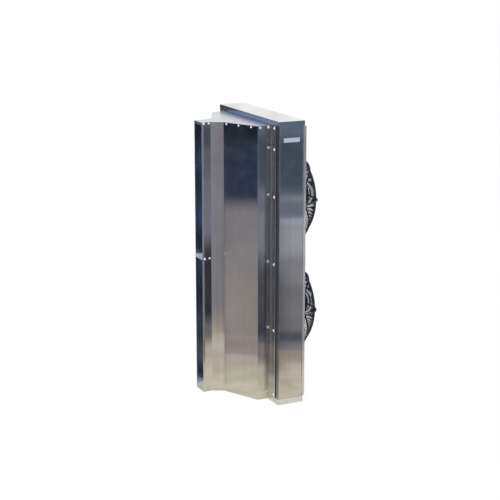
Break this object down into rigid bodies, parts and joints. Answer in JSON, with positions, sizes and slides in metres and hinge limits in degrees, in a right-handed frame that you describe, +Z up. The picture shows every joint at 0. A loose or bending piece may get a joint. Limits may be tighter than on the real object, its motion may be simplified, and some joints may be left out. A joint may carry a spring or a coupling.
{
  "type": "air curtain",
  "caption": "Upright industrial air curtain: shallow brushed steel box with guarded axial fans in its back and a folded nozzle in front that narrows to a tall outlet slot.",
  "frame": {"origin": "middle of the bounding box in plan, on the floor under the bottom cap", "axes": "+Z up along the tall side, -Y the way the air leaves, +X the near side in the picture"},
  "size_m": [0.724, 0.619, 1.5],
  "materials": {
    "brushed_stainless": "brushed, semi-bright",
    "zinc_steel": "zinc coated",
    "seal_foam": "closed-cell foam",
    "black_paint": "semi-gloss powder coat",
    "cast_stator": "raw casting",
    "bearing_steel": "ground",
    "rotor_paint": "satin paint",
    "dark_aluminium": "dark satin coat",
    "grey_plastic": "moulded satin",
    "black_plastic": "moulded matt"
  },
  "bodies": {
    "cabinet": {"top_lid": "brushed_stainless", "bottom_cap": "brushed_stainless", "front_panel": "brushed_stainless", "near_side_panel": "brushed_stainless", "far_side_panel": "brushed_stainless", "back_plate": "brushed_stainless", "back_plate_stiffener": "zinc_steel", "nozzle_near_wall": "brushed_stainless", "nozzle_far_wall": "brushed_stainless", "nozzle_top_plate": "brushed_stainless", "nozzle_bottom_plate": "brushed_stainless", "duct_gasket": "seal_foam", "outlet_spacer": "brushed_stainless", "upper_inlet_ring": "black_paint", "upper_fan_guard": "black_paint", "upper_motor_plate": "black_paint", "upper_motor_stator": "cast_stator", "upper_motor_bearing_rear": "bearing_steel", "upper_motor_bearing_front": "bearing_steel", "lower_inlet_ring": "black_paint", "lower_fan_guard": "black_paint", "lower_motor_plate": "black_paint", "lower_motor_stator": "cast_stator", "lower_motor_bearing_rear": "bearing_steel", "lower_motor_bearing_front": "bearing_steel", "terminal_box": "grey_plastic", "terminal_box_lid": "grey_plastic", "terminal_block": "black_plastic", "supply_gland": "black_plastic"},
    "upper_fan_wheel": {"upper_motor_rotor": "rotor_paint", "upper_impeller": "dark_aluminium"},
    "lower_fan_wheel": {"lower_motor_rotor": "rotor_paint", "lower_impeller": "dark_aluminium"}
  },
  "joints": [
    {"name": "upper_fan_spin", "type": "hinge", "parent": "cabinet", "child": "upper_fan_wheel", "pos_m": [0, 0.1345, 1.0425], "axis": [0, 1, 0], "continuous": true},
    {"name": "lower_fan_spin", "type": "hinge", "parent": "cabinet", "child": "lower_fan_wheel", "pos_m": [0, 0.1345, 0.4395], "axis": [0, 1, 0], "continuous": true}
  ]
}
